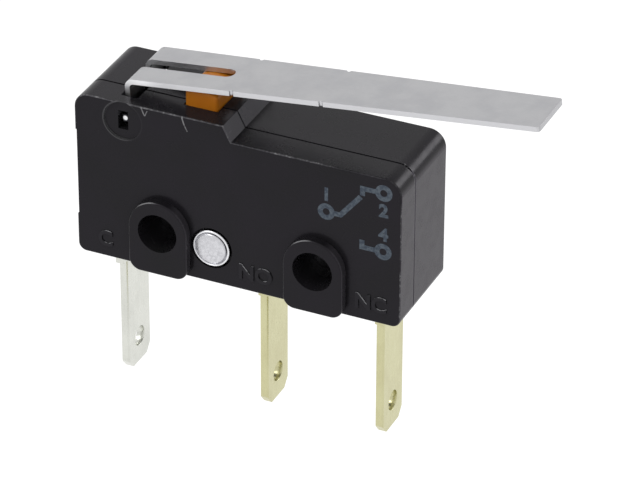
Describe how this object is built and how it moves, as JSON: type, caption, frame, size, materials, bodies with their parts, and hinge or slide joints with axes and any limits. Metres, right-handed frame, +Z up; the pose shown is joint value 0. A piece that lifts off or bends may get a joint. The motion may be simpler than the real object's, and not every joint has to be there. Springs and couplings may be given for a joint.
{
  "type": "lever micro switch",
  "caption": "Subminiature snap-action switch: black two-part housing, long hinged steel lever over an orange plunger, tab terminals below.",
  "frame": {"origin": "midway between the two mounting-hole axes, at half the housing's depth", "axes": "+X along the housing towards the lever's free end, +Y to the rear, through the mounting holes, +Z up, along the plunger"},
  "size_m": [0.027, 0.0067, 0.0224],
  "materials": {
    "housing": "satin",
    "button": "satin",
    "spring_steel": "satin",
    "silvered": "satin",
    "pale_brass": "satin",
    "contact_silver": "satin",
    "rivet_metal": "satin"
  },
  "bodies": {
    "housing": {"case": "housing", "cover": "housing", "rivet": "rivet_metal", "terminal_common": "silvered", "terminal_normally_open": "pale_brass", "terminal_normally_closed": "pale_brass", "contact_normally_open": "contact_silver", "contact_normally_closed": "contact_silver"},
    "lever": {"lever": "spring_steel"},
    "plunger": {"plunger": "button"},
    "drive_leaf": {"drive_leaf": "spring_steel"},
    "contact_arm": {"contact_arm": "pale_brass", "moving_contact": "contact_silver", "snap_spring": "spring_steel"}
  },
  "joints": [
    {"name": "lever_hinge", "type": "hinge", "parent": "housing", "child": "lever", "pos_m": [-0.00703, 0, 0.00643], "axis": [0, 1, 0], "range_deg": [0, 8.5], "stiffness_Nm_per_rad": 0.02, "springref_deg": -8.59},
    {"name": "plunger_slide", "type": "slide", "parent": "housing", "child": "plunger", "axis": [0, 0, -1], "range_m": [0, 0.00062]},
    {"name": "drive_leaf_hinge", "type": "hinge", "parent": "housing", "child": "drive_leaf", "pos_m": [-0.00865, 0, 0.00492], "axis": [0, 1, 0], "range_deg": [0, 6.11]},
    {"name": "contact_arm_hinge", "type": "hinge", "parent": "housing", "child": "contact_arm", "pos_m": [-0.00458, 0, 0.00392], "axis": [0, 1, 0], "range_deg": [0, 2.7]}
  ],
  "couplings": [
    {"joint": "plunger_slide", "follows": "lever_hinge", "m_per_rad": 0.004172},
    {"joint": "drive_leaf_hinge", "follows": "lever_hinge", "ratio": 0.71828},
    {"joint": "contact_arm_hinge", "follows": "lever_hinge", "ratio": 0.31569}
  ]
}
